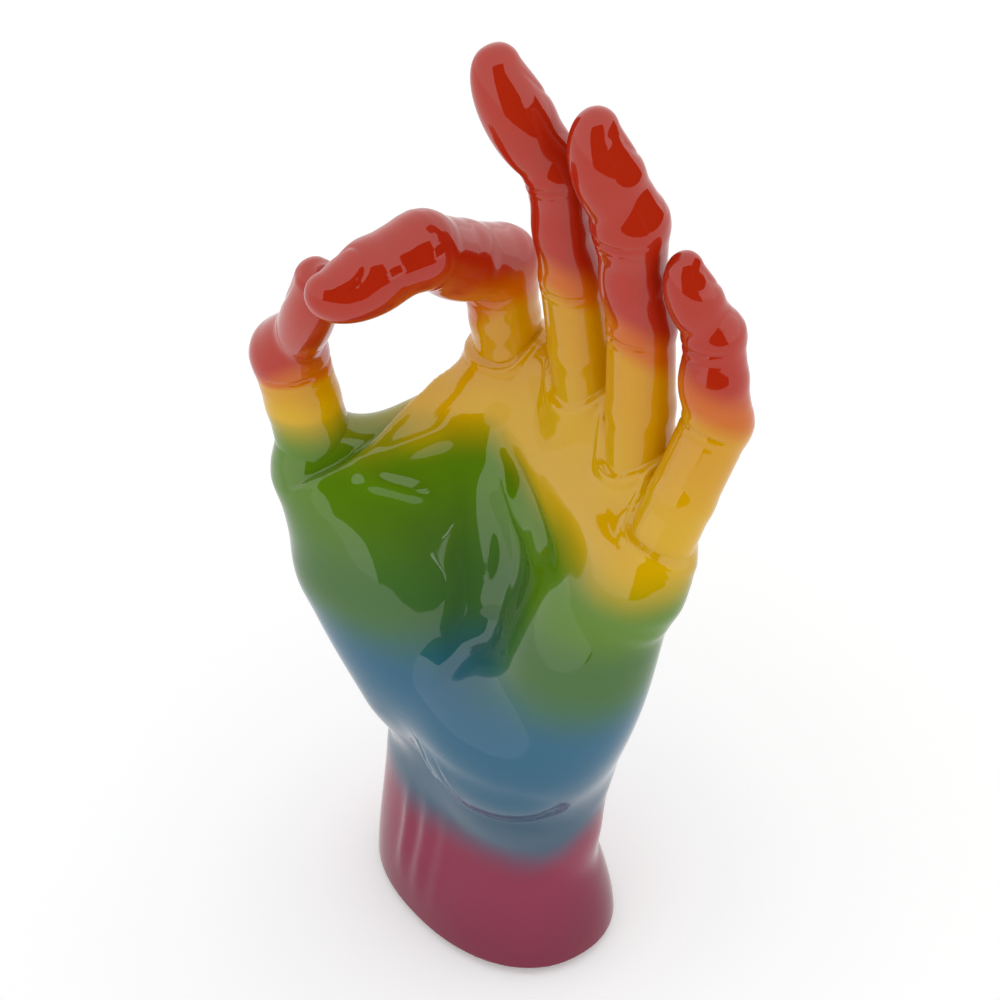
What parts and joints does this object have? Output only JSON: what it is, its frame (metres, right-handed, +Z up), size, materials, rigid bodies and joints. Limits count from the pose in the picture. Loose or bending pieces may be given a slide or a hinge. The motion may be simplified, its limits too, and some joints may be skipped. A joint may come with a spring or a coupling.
{
  "type": "ok hand statuette",
  "caption": "Left hand in the OK gesture, cast in resin with airbrushed rainbow lacquer, standing on its own wrist with thumb and index closing a ring. A desk ornament with no moving parts.",
  "frame": {"origin": "Centre of the oval underside of the felt pad, on the table plane.", "axes": "+Z is up, from the wrist's foot to the fingertips. +X runs to the viewer's right when the viewer looks along +Y at the ring, from the thumb to the little finger. The palm faces between -X and -Y."},
  "size_m": [0.1135, 0.0805, 0.233],
  "materials": {
    "palm_lacquer": "airbrushed gradient under thick clear lacquer, crimson at the foot through blue and green to yellow at the finger roots",
    "finger_lacquer": "airbrushed gradient under thick clear lacquer, yellow at the roots through orange to red at the tips",
    "pin_steel": "plain steel rod, chamfered ends",
    "cast_weight": "raw cast plaster and sand",
    "base_board": "plain fibreboard, unpainted",
    "base_felt": "short dense felt"
  },
  "bodies": {
    "root": {"palm_casting": "palm_lacquer", "thumb_casting": "finger_lacquer", "thumb_pin": "pin_steel", "index_casting": "finger_lacquer", "index_pin": "pin_steel", "middle_casting": "finger_lacquer", "middle_pin": "pin_steel", "ring_casting": "finger_lacquer", "ring_pin": "pin_steel", "little_casting": "finger_lacquer", "little_pin": "pin_steel", "weight": "cast_weight", "base_plate": "base_board", "felt_pad": "base_felt"}
  },
  "joints": []
}
